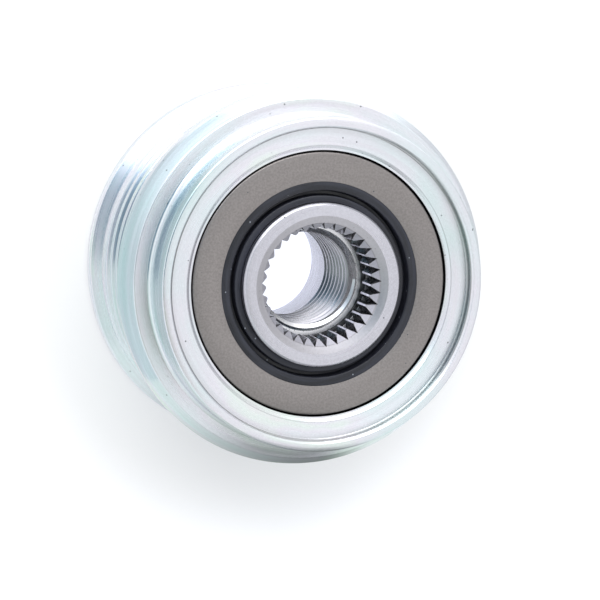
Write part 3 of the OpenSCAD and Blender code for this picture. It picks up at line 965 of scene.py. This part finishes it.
node_finish = {
    "pulley_rim": plated, "inner_ring": hub_steel, "front_seal_carrier": seal_steel,
    "rear_seal_carrier": seal_steel, "front_seal_lip": rubber, "rear_seal_lip": rubber,
    "clutch_cage": nylon, "front_bearing_cage": nylon, "rear_bearing_cage": nylon,
    "clutch_springs": spring_steel,
}
for name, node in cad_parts.items():
    dress(node, node_finish.get(name, bearing_steel))
print("dressed:", 2 + len(seals), "turned pieces and", len(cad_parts), "solids")

# %% [markdown]
# The pulley stands on its rear flange on a pale floor. In the photo the background is white, so
# the floor glows a little, but only for rays that show a backdrop: the metal mirrors it, no light
# from it falls on the part, and the floor keeps the shadow. Near the part the glow is weaker,
# which paints shade round the part, and under the bore it is stronger, a painted pool of light.

# %% Floor
bore_painted_light, painted_shade_glow, open_glow = 1.16, 0.27, 0.62


def rays_that_look(tree):
    """1 for the rays that show a backdrop: the camera's, and those sent on by metal or glass."""
    path = tree.nodes.new("ShaderNodeLightPath").outputs
    seen = calc(tree, "MAXIMUM", path["Is Camera Ray"], path["Is Glossy Ray"])
    return calc(tree, "MAXIMUM", seen, path["Is Transmission Ray"])


def bare_material(name):
    """A material without its usual shader, its node tree and the socket for a new shader."""
    material = bpy.data.materials.new(name)
    material.use_nodes = True
    tree = material.node_tree
    tree.nodes.remove(tree.nodes["Principled BSDF"])
    return material, tree, tree.nodes["Material Output"].inputs["Surface"]


def make_floor():
    bm = bmesh.new()
    bmesh.ops.create_grid(bm, x_segments=2, y_segments=2, size=3.0)
    floor = finish_mesh(bm, "floor")
    floor.location.z = rim_low.z
    material, tree, surface = bare_material("floor")
    paint = tree.nodes.new("ShaderNodeBsdfDiffuse")
    paint.inputs["Color"].default_value = (0.68, 0.675, 0.655, 1)
    glow = tree.nodes.new("ShaderNodeEmission")
    glow.inputs["Color"].default_value = (0.86, 0.90, 1.0, 1)
    r = round_coordinates(tree)[0]
    # Painted light and shade on the floor: a bright pool under the bore, painted shade round the
    # part.
    painted_light_under_bore = span(tree, r, 8 * MM, 16 * MM, bore_painted_light, painted_shade_glow)
    painted_shade_near_part = span(tree, r, 36 * MM, 60 * MM, painted_shade_glow, open_glow)
    level = calc(tree, "MAXIMUM", painted_light_under_bore, painted_shade_near_part)
    tree.links.new(times(tree, rays_that_look(tree), level), glow.inputs["Strength"])
    both = tree.nodes.new("ShaderNodeAddShader")
    tree.links.new(paint.outputs[0], both.inputs[0])
    tree.links.new(glow.outputs[0], both.inputs[1])
    tree.links.new(both.outputs[0], surface)
    dress(floor, material)


make_floor()
print(f"floor at z = {rim_low.z / MM:.2f} mm")

# %% [markdown]
# One large soft box stands on the side that is up in the picture, so the part's shadow falls
# down the picture. A large lamp close by gives a soft shadow, and a small one gives a hard one.


# %% Soft box
def soft_box(name, place, target, size, power):
    data = bpy.data.lights.new(name, "AREA")
    data.shape = "RECTANGLE"
    data.size, data.size_y = size
    data.energy = power
    lamp = bpy.data.objects.new(name, data)
    bpy.context.scene.collection.objects.link(lamp)
    lamp.location = place
    lamp.rotation_euler = (Vector(target) - lamp.location).to_track_quat("-Z", "Y").to_euler()
    print(f"{name}: {power} W from {lamp.location[:]}")


middle = ((rim_low + rim_high) / 2)[:]
soft_box("top_box", (-0.12, 0.55, 0.40), middle, (0.8, 0.5), 2.7)

# %% [markdown]
# Bright metal has little colour of its own: it shows the room. Photographers set up cards for it
# to mirror, and so does this studio. A card here is a glowing sheet that only shows in
# reflections, so it adds no light to the part and throws no shadow.


# %% Studio cards
def card(name, corners, colour, level=None):
    """A flat card that only shows in the metal's reflections. level(tree) can shade it off."""
    bm = bmesh.new()
    bm.faces.new([bm.verts.new(c) for c in corners])
    sheet = finish_mesh(bm, name)
    sheet.visible_camera = False
    sheet.visible_shadow = False
    sheet.visible_diffuse = False
    material, tree, surface = bare_material(name)
    glow = tree.nodes.new("ShaderNodeEmission")
    glow.inputs["Color"].default_value = opaque(colour)
    if level:
        tree.links.new(level(tree), glow.inputs["Strength"])
    tree.links.new(glow.outputs[0], surface)
    dress(sheet, material)
    print(f"{name} staged")


def level_card(name, low, high, z, colour, level=None):
    """A card level with the floor, from its low corner to its high corner."""
    corners = [
        (low[0], low[1], z), (high[0], low[1], z), (high[0], high[1], z), (low[0], high[1], z)
    ]
    card(name, corners, colour, level)


def shade_by_y(near, far, high):
    """Shades a card off along Y, from 1 at near to the high level at far."""
    def level(tree):
        return span(tree, object_xyz(tree)[1][1], near, far, 1.0, high)
    return level


# %% [markdown]
# The cards high above are what the flanks, the fillets and the recess's wall mirror: slate, teal
# and grey, as the photo shows in them. Those just over the floor are what the cone, the belt
# crests and the collar mirror, at the part's right and left.

# %% Set up the level cards
sky_z, table_z = 0.88, 0.001
level_card(
    "slate_card", (-0.80, -0.10), (-0.08, 0.56), sky_z, (0.15, 0.25, 0.32),
    level=shade_by_y(0.22, 0.56, 3.4),
)
level_card("teal_card", (-0.80, -0.70), (-0.32, -0.10), sky_z, (0.64, 0.77, 0.75))
level_card("grey_card", (-0.31, -0.36), (0.10, -0.11), sky_z, (0.40, 0.41, 0.38))
level_card("right_card", (0.036, -0.12), (0.40, 0.05), table_z, (0.74, 0.78, 0.80))
# The left card lies against the part and is darker than the floor: painted shade of the floor
# beside the part, which the belt crests and the collar mirror.
level_card(
    "left_shade_card", (-0.70, -0.13), (-0.0305, 0.40), table_z, (0.60, 0.72, 0.75),
    level=shade_by_y(0.02, 0.085, 1.5),
)

# %% [markdown]
# The photographed pulley lay on its rims, so its lowest edge mirrored the table and its own
# shadow. This one stands, and an upright card beside it takes the table's place, with a painted
# shadow: darkest where the two would touch, and lighter to both sides.

# %% The table card with its painted shadow
table_y = -0.0298
table_left, table_right, table_high = -0.036, 0.022, 0.05


def painted_table_shadow(tree):
    """A painted shadow that falls to a quarter where the pulley would touch a table, and rises
    again.
    """
    x = object_xyz(tree)[1][0]
    falling = span(tree, x, -0.028, 0.002, 0.90, 0.25)
    rising = span(tree, x, 0.004, 0.016, 0.25, 0.95)
    return calc(tree, "MAXIMUM", falling, rising)


table_corners = [
    (table_left, table_y, 0), (table_right, table_y, 0),
    (table_right, table_y, table_high), (table_left, table_y, table_high),
]
card("table_shadow_card", table_corners, (0.90, 1.0, 0.98), level=painted_table_shadow)

# %% [markdown]
# The world is the white room round the cards. It lights the part evenly at a plain level. Towards
# the top of the picture it's a little lighter and towards the right darker, because an even
# world would leave the metal without form.


# %% The studio round it
def make_studio():
    """Pale walls that are lighter towards +Y and darker towards +X."""
    world = bpy.data.worlds.new("studio")
    bpy.context.scene.world = world
    world.use_nodes = True
    tree = world.node_tree
    way = tree.nodes.new("ShaderNodeSeparateXYZ")
    tree.links.new(tree.nodes.new("ShaderNodeTexCoord").outputs["Generated"], way.inputs[0])
    up_the_picture = span(tree, way.outputs[1], 0.05, 0.60)
    to_the_right = span(tree, way.outputs[0], 0.45, 0.95)
    level = calc(tree, "ADD", 1.0, times(tree, up_the_picture, 0.18))
    level = calc(tree, "SUBTRACT", level, times(tree, to_the_right, 0.30))
    backdrop = tree.nodes["Background"]
    backdrop.inputs["Color"].default_value = (0.97, 0.985, 1.0, 1)
    tree.links.new(level, backdrop.inputs["Strength"])
    print("world:", world.name)


make_studio()

# %% [markdown]
# The camera stands where the photographer's did, as seen from the pulley: the tilt comes from
# the ellipses of the front face, and the focal length from the spacing of the ribs and thread.

# %% Camera
photo_width_px = 600
focal_px = 1900
camera_place_mm = (-94.323, 35.571, 301.168)
camera_data = bpy.data.cameras.new("camera")
camera_data.sensor_width = 36
camera_data.lens = focal_px * camera_data.sensor_width / photo_width_px
camera_data.clip_start, camera_data.clip_end = 0.01, 20
camera = bpy.data.objects.new("camera", camera_data)
bpy.context.scene.collection.objects.link(camera)
back = Vector((-0.317, 0.132, 0.939)).normalized()
up = back.cross(Vector((0.949, 0.044, 0.314))).normalized()
right = up.cross(back)
turned_to = Matrix((right, up, back)).transposed().to_4x4()
camera.matrix_world = Matrix.Translation(Vector(camera_place_mm) * MM) @ turned_to
bpy.context.scene.camera = camera
bpy.context.scene.view_settings.view_transform = "Standard"
print(f"camera: {camera_data.lens:.0f} mm lens, {Vector(camera_place_mm).length:.0f} mm away")
